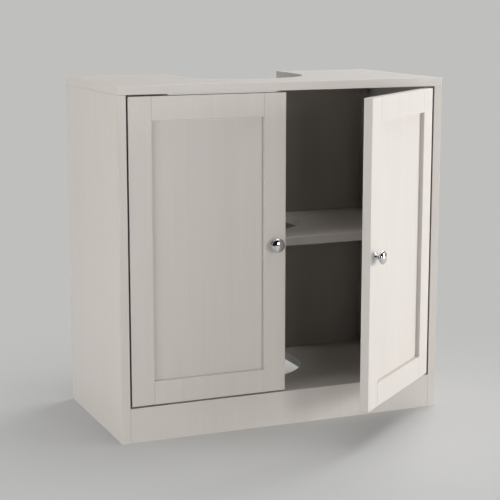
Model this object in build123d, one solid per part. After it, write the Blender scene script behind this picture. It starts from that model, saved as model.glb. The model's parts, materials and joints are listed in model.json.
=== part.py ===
"""Two-door sink base cabinet that stands round the pedestal or waste pipe of a basin.

Frame: X across the front, Y from the front face to the back, Z up from the floor.
The origin is on the floor, midway along the cabinet, in the plane of its front face.
All lengths are in millimetres and all angles in degrees.

The left door is shut and the right door stands open, as the cabinet is shown.
"""
import os
from math import atan2, cos, degrees, hypot, radians, sin

from build123d import *

# ---------------------------------------------------------------- carcass
WIDTH = 600.0
DEPTH = 300.0
HEIGHT = 600.0
BOARD = 15.0              # sides, top, bottom and plinth
BACK_BOARD = 15.0
SHELF_BOARD = 15.0
PLINTH_HEIGHT = 60.0      # the bottom panel's upper face is level with the plinth's top
EDGE_EASE = 0.5           # small chamfer that breaks every board's edges

CUTOUT_WIDTH = 225.0      # U-shaped way for the pedestal, open at the back
CUTOUT_DEPTH = 205.0      # from the back edge to the front of its round end

SHELF_RISE = 255.0        # from the bottom panel up to the shelf's underside
SHELF_SETBACK = 3.0       # from the doors' back faces to the shelf's front edge
SHELF_PLAY = 0.5          # between the shelf and the sides and back boards

# ---------------------------------------------------------------- doors
DOOR_BOARD = 15.0
DOOR_GAP = 3.0            # all round each door, and between the two
STILE_WIDTH = 40.0
RAIL_WIDTH = 40.0
PANEL_BOARD = 6.0
PANEL_RECESS = 7.0        # from the frame's face back to the panel's groove
GROOVE_DEPTH = 8.0
GROOVE_PLAY = 0.1         # each side of a tongue or panel, across its thickness
PANEL_PLAY = 1.0          # between the panel's edges and the bottoms of the grooves

LEFT_DOOR_OPEN = 0.0
RIGHT_DOOR_OPEN = 40.2
FULL_OPEN = 105.0         # the hinges' stop

# ---------------------------------------------------------------- knobs
KNOB_FROM_EDGE = 20.0     # from the door's free edge to the knob's axis
KNOB_BASE_RADIUS = 8.0
KNOB_BASE_HEIGHT = 2.0
KNOB_NECK_RADIUS = 4.5
KNOB_HEAD_RADIUS = 12.0
KNOB_NECK_HEIGHT = 6.0    # where the neck is thinnest
KNOB_RIM_HEIGHT = 14.0    # where the head is widest
KNOB_HEIGHT = 19.0
KNOB_SCREW_RADIUS = 2.0
KNOB_SCREW_GRIP = 7.0     # length of screw in the knob
SCREW_HEAD_RADIUS = 4.0
SCREW_HEAD_HEIGHT = 2.2
SCREW_RECESS_RADIUS = 1.3
SCREW_RECESS_DEPTH = 1.2

# ---------------------------------------------------------------- board fittings
FIT = 0.1                 # radial clearance of pegs, bolts and screws in the boards
CAM_RADIUS = 7.5
CAM_DEPTH = 12.0
CAM_DISTANCE = 24.0       # from the joint to the cam's axis
CAM_SLOT = 1.6            # width of its screwdriver slot
CAM_SLOT_LENGTH = 10.5
CAM_SLOT_DEPTH = 2.0
BOLT_THREAD_RADIUS = 2.5
BOLT_THREAD_LENGTH = 10.5
BOLT_SHANK_RADIUS = 3.0
BOLT_HEAD_RADIUS = 3.5
BOLT_HEAD_LENGTH = 3.0
DOWEL_RADIUS = 4.0
DOWEL_IN_FACE = 10.0
DOWEL_IN_EDGE = 20.0
HOLE_RELIEF = 0.5         # spare depth at the bottom of a blind hole
FITTING_INSET = 50.0      # from a board's front or back edge to its first cam
DOWEL_PITCH = 32.0        # from a cam to the dowel beside it
PLINTH_CAM_HEIGHT = 20.0
PLINTH_DOWEL_HEIGHT = 42.0
BACK_CAM_INSET = 90.0     # from the back board's ends to its cams
BACK_DOWEL_INSET = 45.0   # from the cut-out's edge to the back board's end dowels
PLINTH_DOWEL_SPREAD = 300.0

PEG_RADIUS = 2.5          # shelf pegs
PEG_IN_SIDE = 9.0
PEG_COLLAR_RADIUS = 3.5
PEG_COLLAR_LENGTH = 8.0
PEG_INSET = 40.0          # from the shelf's front and back edges

# ---------------------------------------------------------------- hinges
# Concealed hinges. In plan each is drawn from the door's front outer corner, the line that
# the door turns about: u towards the cabinet's middle, v to the back, w up from its centre.
HINGE_INSET = 90.0        # from the door's ends to the hinges' centres
CUP_RADIUS = 13.0
CUP_DEPTH = 11.0
CUP_WALL = 0.9
CUP_FROM_EDGE = 17.0      # from the door's edge to the cup's centre
FLANGE_RADIUS = 15.0
FLANGE = 1.2
EAR_OFFSET = 5.0          # the ears' centre line, further in than the cup's centre
EAR_WIDTH = 12.0
CUP_SCREW_SPREAD = 38.0
CUP_SCREW_RADIUS = 1.5
CUP_SCREW_LENGTH = 10.0   # in the door
LUG_START = 5.2           # where the cup's pin lugs start, each side of its centre
LUG_MARGIN = 3.0          # of a lug round its pins
LUG_SET_IN = 0.5          # below the door's back face

PIN_RADIUS = 1.25
PIN_FIT = 0.05            # radial running clearance
PIN_IN_LUG = 2.0
CUP_PIN_ACROSS = 9.5      # u of the first cup pin
CUP_PIN_BELOW = 6.8       # and its depth below the door's back face
CUP_STEP_ACROSS = 5.1     # from the first cup pin to the second
CUP_STEP_BACK = 3.2
ARM_PIN_ACROSS = 9.0      # u of the first arm pin
ARM_PIN_BEHIND = 9.0      # and its distance behind the door's back face
ARM_STEP_ACROSS = 1.5     # from the first arm pin to the second
ARM_STEP_BACK = 9.0

LINK = 2.0                # thickness of the link plates
LINK_GAP = 0.3            # between neighbouring plates
ARM_LINK_WIDTH = 5.0
CUP_LINK_WIDTH = 4.4
RIM_BYPASS_ACROSS = 1.8   # how far a cup link passes from the cup's rim at full opening
RIM_BYPASS_FRONT = 2.9
EDGE_BYPASS = 3.0         # and from the flange's outer edge

ARM_PLATE = 1.5           # thickness of the arm's cheeks and web
CHEEK_CLEARANCE = 0.35
CHEEK_MARGIN = 4.0        # round the arm's pins
ARM_END = 80.0            # from the front face to the arm's rear end
WEB_START = 30.0
CHEEK_REAR_HEIGHT = 6.0   # of the cheeks above the mounting plate, behind the pins

MOUNT_PLATE = 1.5
MOUNT_PLATE_START = 42.0
MOUNT_PLATE_LENGTH = 36.0
MOUNT_PLATE_WIDTH = 12.0
WING_SPREAD = 32.0
WING_WIDTH = 13.0
WING_AT = 52.0            # from the front face to the line of the wings' screws
PLATE_SCREW_LENGTH = 10.0
PLATE_SCREW_RADIUS = 2.5
ARM_SCREW_RADIUS = 1.5
ARM_SCREW_HEAD = 2.6
ARM_SCREW_AT = 59.0       # from the front face to the arm's first screw
ARM_SCREW_PITCH = 12.0

# ---------------------------------------------------------------- worked out from the above
INNER_HALF = WIDTH / 2 - BOARD
CORNER_X = INNER_HALF - DOOR_GAP                      # front outer corner of a closed door
DOOR_WIDTH = (2 * INNER_HALF - 3 * DOOR_GAP) / 2
DOOR_LOW = PLINTH_HEIGHT + DOOR_GAP
DOOR_HIGH = HEIGHT - BOARD - DOOR_GAP
TONGUE_FRONT = PANEL_RECESS + GROOVE_PLAY
GROOVE_BACK = TONGUE_FRONT + PANEL_BOARD + GROOVE_PLAY
CUTOUT_FRONT = DEPTH - CUTOUT_DEPTH
HINGE_HEIGHTS = {"upper": DOOR_HIGH - HINGE_INSET, "lower": DOOR_LOW + HINGE_INSET}
OPENING = {"left": LEFT_DOOR_OPEN, "right": RIGHT_DOOR_OPEN}
SIDES = ("left", "right")

UP = (0, 0, 1)
DOWN = (0, 0, -1)
BACK = (0, 1, 0)


# ---------------------------------------------------------------- small helpers
def block(x, y, z):
    """A box between the two values given for each axis."""
    centre = [(low + high) / 2 for low, high in (x, y, z)]
    return Pos(*centre) * Box(x[1] - x[0], y[1] - y[0], z[1] - z[0])


def board(x, y, z, stands=False):
    """A box with its edges broken, but for those of a face that stands on the floor."""
    solid = block(x, y, z)
    sharp = solid.faces().sort_by(Axis.Z)[0].edges() if stands else []
    return chamfer([edge for edge in solid.edges() if edge not in sharp], EDGE_EASE)


def rod(start, direction, radius, length):
    """A round bar from a point, along a direction."""
    bar = Cylinder(radius, length, align=(Align.CENTER, Align.CENTER, Align.MIN))
    return Plane(origin=start, z_dir=direction) * bar


def mirrored(shape, side):
    """What is drawn at the left is mirrored for the right."""
    return mirror(shape, about=Plane.YZ) if side == "right" else shape


def group(solids):
    """Identical small pieces that share one node."""
    return Compound(children=list(solids))


def save(name, shape):
    shape.label = name
    export_step(shape, os.path.join("parts", name + ".step"))


# ---------------------------------------------------------------- cams, bolts and dowels
def cam_fitting(seat):
    """A bolt and its cam. The seat's Z runs from the joint into the edge-bored board,
    and its X points out of the face that the cam is let into."""
    face = BOARD / 2
    bolt = rod((0, 0, -BOLT_THREAD_LENGTH), UP, BOLT_THREAD_RADIUS, BOLT_THREAD_LENGTH)
    bolt += rod((0, 0, 0), UP, BOLT_SHANK_RADIUS, CAM_DISTANCE)
    bolt += rod((0, 0, CAM_DISTANCE - BOLT_HEAD_LENGTH), UP, BOLT_HEAD_RADIUS, BOLT_HEAD_LENGTH)
    cam = rod((face, 0, CAM_DISTANCE), (-1, 0, 0), CAM_RADIUS - FIT, CAM_DEPTH)
    cam -= rod((0, 0, 0), UP, BOLT_HEAD_RADIUS + FIT, CAM_DISTANCE + FIT)
    slot = block((face - CAM_SLOT_DEPTH, face), (-CAM_SLOT / 2, CAM_SLOT / 2),
                 (CAM_DISTANCE - CAM_SLOT_LENGTH / 2, CAM_DISTANCE + CAM_SLOT_LENGTH / 2))
    face_hole = rod((0, 0, -BOLT_THREAD_LENGTH - HOLE_RELIEF), UP,
                    BOLT_THREAD_RADIUS + FIT, BOLT_THREAD_LENGTH + HOLE_RELIEF)
    edge_hole = rod((0, 0, 0), UP, BOLT_HEAD_RADIUS + FIT, CAM_DISTANCE)
    edge_hole += rod((face, 0, CAM_DISTANCE), (-1, 0, 0), CAM_RADIUS, CAM_DEPTH)
    return {"bolt": seat * bolt, "cam": seat * (cam - slot),
            "face": seat * face_hole, "edge": seat * edge_hole}


def dowel_fitting(seat):
    """A glued wooden dowel across the same kind of joint."""
    dowel = rod((0, 0, -DOWEL_IN_FACE), UP, DOWEL_RADIUS, DOWEL_IN_FACE + DOWEL_IN_EDGE)
    dowel = chamfer(dowel.edges(), EDGE_EASE)
    hole = DOWEL_RADIUS + FIT
    face_hole = rod((0, 0, -DOWEL_IN_FACE - HOLE_RELIEF), UP, hole, DOWEL_IN_FACE + HOLE_RELIEF)
    edge_hole = rod((0, 0, 0), UP, hole, DOWEL_IN_EDGE + HOLE_RELIEF)
    return {"dowel": seat * dowel, "face": seat * face_hole, "edge": seat * edge_hole}


def seat(at, into_edge, cam_out):
    """Where a fitting sits, as cam_fitting describes it."""
    return Plane(origin=at, x_dir=cam_out, z_dir=into_edge)


def joint_list():
    """Every cam and dowel: its kind, its seat, the bored face's board and the bored edge's."""
    joints = []
    cam_rows = (FITTING_INSET, DEPTH - FITTING_INSET)
    dowel_rows = (FITTING_INSET + DOWEL_PITCH, DEPTH - FITTING_INSET - DOWEL_PITCH)
    top_low = HEIGHT - BOARD
    bottom_mid = PLINTH_HEIGHT - BOARD / 2
    back_mid = DEPTH - BACK_BOARD / 2
    back_cams = (PLINTH_HEIGHT + BACK_CAM_INSET, top_low - BACK_CAM_INSET)
    for side, sign in (("left", -1), ("right", 1)):
        panel = side + "_side_panel"
        back = side + "_back_board"
        inward = (-sign, 0, 0)
        face = sign * INNER_HALF
        middle = sign * (WIDTH - BOARD) / 2
        back_dowel = sign * (CUTOUT_WIDTH / 2 + BACK_DOWEL_INSET)
        plinth_dowel = sign * PLINTH_DOWEL_SPREAD / 2
        for kind, rows in (("cam", cam_rows), ("dowel", dowel_rows)):
            for y in rows:
                joints += [
                    (kind, seat((middle, y, top_low), DOWN, inward), "top_panel", panel),
                    (kind, seat((face, y, bottom_mid), inward, DOWN), panel, "bottom_panel"),
                ]
        for z in back_cams:
            joints.append(("cam", seat((face, back_mid, z), inward, BACK), panel, back))
        joints += [
            ("cam", seat((face, BOARD / 2, PLINTH_CAM_HEIGHT), inward, BACK), panel, "plinth_board"),
            ("dowel", seat((face, BOARD / 2, PLINTH_DOWEL_HEIGHT), inward, BACK), panel,
             "plinth_board"),
            ("dowel", seat((face, back_mid, sum(back_cams) / 2), inward, BACK), panel, back),
            ("dowel", seat((back_dowel, back_mid, top_low), DOWN, BACK), "top_panel", back),
            ("dowel", seat((back_dowel, back_mid, PLINTH_HEIGHT), UP, BACK), "bottom_panel", back),
            ("dowel", seat((plinth_dowel, BOARD, bottom_mid), BACK, UP), "plinth_board",
             "bottom_panel"),
        ]
    return joints


# ---------------------------------------------------------------- boards of the carcass
def cutout_board(x, y, z):
    """A level board with the U-shaped cut-out in its back edge."""
    radius = CUTOUT_WIDTH / 2
    outline = Pos((x[0] + x[1]) / 2, (y[0] + y[1]) / 2) * Rectangle(x[1] - x[0], y[1] - y[0])
    outline -= Pos(0, CUTOUT_FRONT + radius) * Circle(radius)
    outline -= Pos(0, (CUTOUT_FRONT + radius + DEPTH + BOARD) / 2) * Rectangle(
        CUTOUT_WIDTH, DEPTH + BOARD - CUTOUT_FRONT - radius)
    solid = Pos(0, 0, z[0]) * extrude(outline, amount=z[1] - z[0])
    return chamfer(solid.edges(), EDGE_EASE)


def carcass_boards():
    """The boards before their fittings are bored."""
    half, top_low = WIDTH / 2, HEIGHT - BOARD
    shelf_low = PLINTH_HEIGHT + SHELF_RISE
    shelf_half = INNER_HALF - SHELF_PLAY
    boards = {
        "top_panel": cutout_board((-half, half), (0, DEPTH), (top_low, HEIGHT)),
        "bottom_panel": cutout_board((-INNER_HALF, INNER_HALF), (BOARD, DEPTH),
                                     (PLINTH_HEIGHT - BOARD, PLINTH_HEIGHT)),
        "shelf": cutout_board((-shelf_half, shelf_half),
                              (DOOR_BOARD + SHELF_SETBACK, DEPTH - BACK_BOARD - SHELF_PLAY),
                              (shelf_low, shelf_low + SHELF_BOARD)),
        "plinth_board": board((-INNER_HALF, INNER_HALF), (0, BOARD), (0, PLINTH_HEIGHT),
                              stands=True),
    }
    for side in SIDES:
        boards[side + "_side_panel"] = mirrored(
            board((-half, -INNER_HALF), (0, DEPTH), (0, top_low), stands=True), side)
        boards[side + "_back_board"] = mirrored(
            board((-INNER_HALF, -CUTOUT_WIDTH / 2), (DEPTH - BACK_BOARD, DEPTH),
                  (PLINTH_HEIGHT, top_low)), side)
    return boards


def shelf_pegs():
    """Four steel pegs: a pin in the side panel and a collar that the shelf lies on."""
    height = PLINTH_HEIGHT + SHELF_RISE - PEG_COLLAR_RADIUS
    shelf_front = DOOR_BOARD + SHELF_SETBACK
    shelf_back = DEPTH - BACK_BOARD - SHELF_PLAY
    pegs = []
    for side in SIDES:
        for y in (shelf_front + PEG_INSET, shelf_back - PEG_INSET):
            start = (-INNER_HALF - PEG_IN_SIDE, y, height)
            peg = rod(start, (1, 0, 0), PEG_RADIUS, PEG_IN_SIDE)
            peg += rod((-INNER_HALF, y, height), (1, 0, 0), PEG_COLLAR_RADIUS, PEG_COLLAR_LENGTH)
            hole = rod((-INNER_HALF - PEG_IN_SIDE - HOLE_RELIEF, y, height), (1, 0, 0),
                       PEG_RADIUS + FIT, PEG_IN_SIDE + HOLE_RELIEF)
            pegs.append((side + "_side_panel", mirrored(peg, side), mirrored(hole, side)))
    return pegs


# ---------------------------------------------------------------- hinge plan geometry
def turned(point, angle):
    """A point of the door, in plan, when the door has opened by an angle."""
    u, v = point
    c, s = cos(radians(angle)), sin(radians(angle))
    return (u * c + v * s, v * c - u * s)


def plus(a, b):
    return (a[0] + b[0], a[1] + b[1])


def minus(a, b):
    return (a[0] - b[0], a[1] - b[1])


ARM_PIN_1 = (ARM_PIN_ACROSS, DOOR_BOARD + ARM_PIN_BEHIND)
ARM_PIN_2 = plus(ARM_PIN_1, (ARM_STEP_ACROSS, ARM_STEP_BACK))
CUP_PIN_1 = (CUP_PIN_ACROSS, DOOR_BOARD - CUP_PIN_BELOW)     # on the closed door
CUP_PIN_2 = plus(CUP_PIN_1, (CUP_STEP_ACROSS, CUP_STEP_BACK))
ARM_SCREWS = (ARM_SCREW_AT, ARM_SCREW_AT + ARM_SCREW_PITCH)

# The four plates lie one above another, centred on the hinge, with a gap between neighbours.
PITCH = LINK + LINK_GAP
STACK_HALF = (4 * LINK + 3 * LINK_GAP) / 2
CUP_BRACE_W = -STACK_HALF
ARM_LINK_W = CUP_BRACE_W + PITCH
CUP_LINK_W = ARM_LINK_W + PITCH
ARM_BRACE_W = CUP_LINK_W + PITCH
CHEEK_START = STACK_HALF + CHEEK_CLEARANCE


def bar(points, width, low, holes=(), thickness=LINK):
    """A flat link along a line of points in plan, round at its ends and corners."""
    outline = None
    for start, end in zip(points, points[1:]):
        run = minus(end, start)
        middle = ((start[0] + end[0]) / 2, (start[1] + end[1]) / 2)
        piece = Pos(*middle) * Rot(0, 0, degrees(atan2(run[1], run[0]))) * SlotCenterToCenter(
            hypot(*run), width)
        outline = piece if outline is None else outline + piece
    for hole in holes:
        outline -= Pos(*hole) * Circle(PIN_RADIUS + PIN_FIT)
    return Pos(0, 0, low) * extrude(outline, amount=thickness)


def stud(point, low, height):
    return rod((*point, low), UP, PIN_RADIUS, height)


def arm_links(opening):
    """The two links that swing on the arm, each kept parallel to the line of the cup's pins
    that it serves. They turn with the door, about their own pins."""
    knee = plus(ARM_PIN_1, turned(CUP_PIN_1, opening))
    toe = plus(ARM_PIN_1, turned(CUP_PIN_2, opening))
    heel = plus(ARM_PIN_2, turned(CUP_PIN_1, opening))
    link = bar([ARM_PIN_1, knee, toe], ARM_LINK_WIDTH, ARM_LINK_W, holes=[ARM_PIN_1])
    link += stud(knee, ARM_LINK_W + LINK, PITCH)
    link += stud(toe, ARM_LINK_W - PITCH, PITCH)
    brace = bar([ARM_PIN_2, heel], ARM_LINK_WIDTH, ARM_BRACE_W, holes=[ARM_PIN_2])
    brace += stud(heel, ARM_BRACE_W - PITCH, PITCH)
    return {"arm_link": link, "arm_brace": brace}


def bypass(pin, low):
    """The corners that a cup link takes, from its pin, to pass round the cup's rim and the
    door's edge when the door is fully open."""
    reach = max(abs(low), abs(low + LINK))
    inner = CUP_RADIUS - CUP_WALL
    rim_u = CUP_FROM_EDGE - (inner ** 2 - reach ** 2) ** 0.5
    rim = turned(minus((rim_u, DOOR_BOARD + FLANGE), pin), FULL_OPEN)
    edge = turned(minus((CUP_FROM_EDGE - FLANGE_RADIUS, DOOR_BOARD + FLANGE), pin), FULL_OPEN)
    return [plus(rim, (RIM_BYPASS_ACROSS, -RIM_BYPASS_FRONT)), plus(edge, (EDGE_BYPASS, 0))]


def cup_links(opening):
    """The two cranked links that swing in the cup. They keep their direction as the door
    turns, so that each is parallel to the line from the door's corner to the arm's pin."""
    links = {}
    for name, pin, low, ends in (("cup_link", CUP_PIN_1, CUP_LINK_W, (ARM_PIN_1, ARM_PIN_2)),
                                 ("cup_brace", CUP_PIN_2, CUP_BRACE_W, (ARM_PIN_1,))):
        path = [(0, 0)] + bypass(pin, low) + list(ends)
        at = turned(pin, opening)
        points = [plus(at, point) for point in path]
        holes = [at] + [plus(at, end) for end in ends]
        links[name] = bar(points, CUP_LINK_WIDTH, low, holes=holes)
    return links


# ---------------------------------------------------------------- hinge parts
def hinge_cup():
    """A pressed steel cup with its flange, ears and the two lugs that hold the pins."""
    inner = CUP_RADIUS - CUP_WALL
    floor = DOOR_BOARD - CUP_DEPTH
    top = DOOR_BOARD + FLANGE
    ears = Rot(0, 0, 90) * SlotCenterToCenter(CUP_SCREW_SPREAD, EAR_WIDTH)
    flange = Circle(FLANGE_RADIUS) + Pos(EAR_OFFSET, 0) * ears
    for end in (-1, 1):
        flange -= Pos(EAR_OFFSET, end * CUP_SCREW_SPREAD / 2) * Circle(CUP_SCREW_RADIUS + FIT)
    # Drawn flat, the flange's local Y is the cabinet's Z: this plane faces forwards.
    flat = Plane(origin=(CUP_FROM_EDGE, top, 0), x_dir=(1, 0, 0), z_dir=(0, -1, 0))
    cup = flat * extrude(flange, amount=FLANGE)
    cup += rod((CUP_FROM_EDGE, floor, 0), BACK, CUP_RADIUS, CUP_DEPTH)
    cavity = rod((CUP_FROM_EDGE, floor + CUP_WALL, 0), BACK, inner, CUP_DEPTH + FLANGE)
    lug_u = (CUP_PIN_1[0] - LUG_MARGIN, CUP_PIN_2[0] + LUG_MARGIN)
    lug_v = (floor, DOOR_BOARD - LUG_SET_IN)
    for lug_w in ((LUG_START, CUP_RADIUS), (-CUP_RADIUS, -LUG_START)):
        cavity -= block(lug_u, lug_v, lug_w)
    cup -= cavity
    pin_end = LUG_START + PIN_IN_LUG
    for pin in (CUP_PIN_1, CUP_PIN_2):
        cup -= rod((*pin, -pin_end), UP, PIN_RADIUS + PIN_FIT, 2 * pin_end)
    return cup


def cup_pins():
    """The first pin spans the cup; the second is short, and stands on the lower lug."""
    end = LUG_START + PIN_IN_LUG
    first = rod((*CUP_PIN_1, -end), UP, PIN_RADIUS, 2 * end)
    second = rod((*CUP_PIN_2, -end), UP, PIN_RADIUS, end + CUP_BRACE_W + LINK)
    return [first, second]


def cross_screw(start, direction, radius, length, head_radius=SCREW_HEAD_RADIUS):
    """A screw whose head's underside is at start, and whose shank runs along a direction."""
    head = Cylinder(head_radius, SCREW_HEAD_HEIGHT, align=(Align.CENTER, Align.CENTER, Align.MAX))
    head = chamfer(head.edges().sort_by(Axis.Z)[0], SCREW_HEAD_HEIGHT / 3)
    recess = Pos(0, 0, -SCREW_HEAD_HEIGHT) * Cylinder(
        SCREW_RECESS_RADIUS, 2 * SCREW_RECESS_DEPTH)
    shank = Cylinder(radius, length, align=(Align.CENTER, Align.CENTER, Align.MIN))
    return Plane(origin=start, z_dir=direction) * (head - recess + shank)


def cup_screws():
    screws, holes = [], []
    u = CUP_FROM_EDGE + EAR_OFFSET
    for end in (-1, 1):
        start = (u, DOOR_BOARD + FLANGE, end * CUP_SCREW_SPREAD / 2)
        length = CUP_SCREW_LENGTH + FLANGE
        screws.append(cross_screw(start, (0, -1, 0), CUP_SCREW_RADIUS, length))
        holes.append(rod(start, (0, -1, 0), CUP_SCREW_RADIUS + FIT, length + HOLE_RELIEF))
    return screws, holes


def mount_plate():
    """The cross-shaped plate that is screwed to the side panel."""
    face = -DOOR_GAP
    plate = block((face, face + MOUNT_PLATE),
                  (MOUNT_PLATE_START, MOUNT_PLATE_START + MOUNT_PLATE_LENGTH),
                  (-MOUNT_PLATE_WIDTH / 2, MOUNT_PLATE_WIDTH / 2))
    wings = extrude(Rot(0, 0, 90) * SlotCenterToCenter(WING_SPREAD, WING_WIDTH), amount=MOUNT_PLATE)
    plate += Plane(origin=(face, WING_AT, 0), x_dir=(0, 1, 0), z_dir=(1, 0, 0)) * wings
    for end in (-1, 1):
        plate -= rod((face, WING_AT, end * WING_SPREAD / 2), (1, 0, 0),
                     PLATE_SCREW_RADIUS + FIT, MOUNT_PLATE)
    for v in ARM_SCREWS:
        plate -= rod((face, v, 0), (1, 0, 0), ARM_SCREW_RADIUS + FIT, MOUNT_PLATE)
    return plate


def hinge_arm():
    """A channel that opens towards the door: two cheeks that hold the pins, and a web that
    lies on the mounting plate."""
    outer = -DOOR_GAP + MOUNT_PLATE
    nose = [
        (outer, ARM_PIN_1[1] - CHEEK_MARGIN),
        (ARM_PIN_1[0], ARM_PIN_1[1] - CHEEK_MARGIN),
        (ARM_PIN_1[0] + CHEEK_MARGIN, ARM_PIN_1[1]),
        (ARM_PIN_2[0] + CHEEK_MARGIN, ARM_PIN_2[1]),
        (ARM_PIN_2[0], ARM_PIN_2[1] + CHEEK_MARGIN),
        (outer + CHEEK_REAR_HEIGHT, ARM_PIN_2[1] + 3 * CHEEK_MARGIN),
        (outer + CHEEK_REAR_HEIGHT, ARM_END),
        (outer, ARM_END),
    ]
    cheek = extrude(Polygon(*nose, align=None), amount=ARM_PLATE)
    half = CHEEK_START + ARM_PLATE
    arm = Pos(0, 0, CHEEK_START) * cheek + Pos(0, 0, -half) * cheek
    arm += block((outer, outer + ARM_PLATE), (WEB_START, ARM_END), (-half, half))
    for pin in (ARM_PIN_1, ARM_PIN_2):
        arm -= rod((*pin, -half), UP, PIN_RADIUS + PIN_FIT, 2 * half)
    for v in ARM_SCREWS:
        arm -= rod((outer, v, 0), (1, 0, 0), ARM_SCREW_RADIUS + FIT, ARM_PLATE)
    return arm


def arm_pins():
    half = CHEEK_START + ARM_PLATE
    return [rod((*pin, -half), UP, PIN_RADIUS, 2 * half) for pin in (ARM_PIN_1, ARM_PIN_2)]


def side_screws():
    """The screws of one mounting plate and its arm, and the holes they need in the side."""
    screws, holes = [], []
    for end in (-1, 1):
        start = (-DOOR_GAP + MOUNT_PLATE, WING_AT, end * WING_SPREAD / 2)
        length = PLATE_SCREW_LENGTH + MOUNT_PLATE
        screws.append(cross_screw(start, (-1, 0, 0), PLATE_SCREW_RADIUS, length))
        holes.append(rod(start, (-1, 0, 0), PLATE_SCREW_RADIUS + FIT, length + HOLE_RELIEF))
    for v in ARM_SCREWS:
        start = (-DOOR_GAP + MOUNT_PLATE + ARM_PLATE, v, 0)
        screws.append(cross_screw(start, (-1, 0, 0), ARM_SCREW_RADIUS,
                                  ARM_PLATE + MOUNT_PLATE, head_radius=ARM_SCREW_HEAD))
    return screws, holes


# ---------------------------------------------------------------- doors and knobs
def knob():
    """A turned mushroom knob: base, neck and a domed head. Its axis is Z here."""
    with BuildSketch(Plane.XZ) as half_section:
        with BuildLine():
            Polyline((0, 0), (KNOB_BASE_RADIUS, 0), (KNOB_BASE_RADIUS, KNOB_BASE_HEIGHT))
            Spline((KNOB_BASE_RADIUS, KNOB_BASE_HEIGHT), (KNOB_NECK_RADIUS, KNOB_NECK_HEIGHT),
                   tangents=((-1, 0), (0, 1)))
            Spline((KNOB_NECK_RADIUS, KNOB_NECK_HEIGHT), (KNOB_HEAD_RADIUS, KNOB_RIM_HEIGHT),
                   tangents=((0, 1), (0, 1)))
            Spline((KNOB_HEAD_RADIUS, KNOB_RIM_HEIGHT), (0, KNOB_HEIGHT),
                   tangents=((0, 1), (-1, 0)))
            Line((0, KNOB_HEIGHT), (0, 0))
        make_face()
    turned_knob = revolve(half_section.sketch, axis=Axis.Z)
    grip = Cylinder(KNOB_SCREW_RADIUS, KNOB_SCREW_GRIP + HOLE_RELIEF,
                    align=(Align.CENTER, Align.CENTER, Align.MIN))
    return turned_knob - grip


def door_parts():
    """One closed door, from its front outer corner: frame, panel, knob and their screws."""
    z = (DOOR_LOW, DOOR_HIGH)
    thick = (0, DOOR_BOARD)
    groove = (PANEL_RECESS, GROOVE_BACK)
    tongue = (TONGUE_FRONT, TONGUE_FRONT + PANEL_BOARD)
    inner = (STILE_WIDTH, DOOR_WIDTH - STILE_WIDTH)
    tongue_reach = (inner[0] - GROOVE_DEPTH, inner[1] + GROOVE_DEPTH)
    panel_z = (DOOR_LOW + RAIL_WIDTH - GROOVE_DEPTH, DOOR_HIGH - RAIL_WIDTH + GROOVE_DEPTH)

    stile = board((0, STILE_WIDTH), thick, z)
    hinge_stile = stile - block((tongue_reach[0], STILE_WIDTH), groove, z)
    knob_stile = Pos(inner[1], 0, 0) * stile - block((inner[1], tongue_reach[1]), groove, z)

    rails = {}
    for name, low, groove_z in (
            ("bottom_rail", DOOR_LOW, (panel_z[0], DOOR_LOW + RAIL_WIDTH)),
            ("top_rail", DOOR_HIGH - RAIL_WIDTH, (DOOR_HIGH - RAIL_WIDTH, panel_z[1]))):
        rail_z = (low, low + RAIL_WIDTH)
        rail = board(inner, thick, rail_z)
        rail += block(tongue_reach, tongue, rail_z)
        rails[name] = rail - block(tongue_reach, groove, groove_z)

    panel = block((tongue_reach[0] + PANEL_PLAY, tongue_reach[1] - PANEL_PLAY), tongue,
                  (panel_z[0] + PANEL_PLAY, panel_z[1] - PANEL_PLAY))

    for height in HINGE_HEIGHTS.values():
        centre = (CUP_FROM_EDGE, DOOR_BOARD, height)
        hinge_stile -= rod(centre, (0, -1, 0), CUP_RADIUS + FIT, CUP_DEPTH + FIT)
        for hole in cup_screws()[1]:
            hinge_stile -= Pos(0, 0, height) * hole

    at = (DOOR_WIDTH - KNOB_FROM_EDGE, 0, (DOOR_LOW + DOOR_HIGH) / 2)
    on_face = Plane(origin=at, z_dir=(0, -1, 0))
    behind = (at[0], DOOR_BOARD, at[2])
    knob_stile -= rod(behind, (0, -1, 0), KNOB_SCREW_RADIUS + FIT, DOOR_BOARD)
    screw = cross_screw(behind, (0, -1, 0), KNOB_SCREW_RADIUS - FIT, DOOR_BOARD + KNOB_SCREW_GRIP)
    return {"hinge_stile": hinge_stile, "knob_stile": knob_stile, **rails, "panel": panel,
            "knob": on_face * knob(), "knob_screw": screw}


# ---------------------------------------------------------------- putting it together
def on_carcass(shape, side, height=0.0):
    """From a hinge's plan frame to its place on the carcass."""
    return mirrored(Pos(-CORNER_X, 0, height) * shape, side)


def on_door(shape, side, height=0.0):
    """From a closed door's frame to its place at the angle that it stands open."""
    open_door = Pos(-CORNER_X, 0, height) * Rot(0, 0, -OPENING[side]) * shape
    return mirrored(open_door, side)


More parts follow.
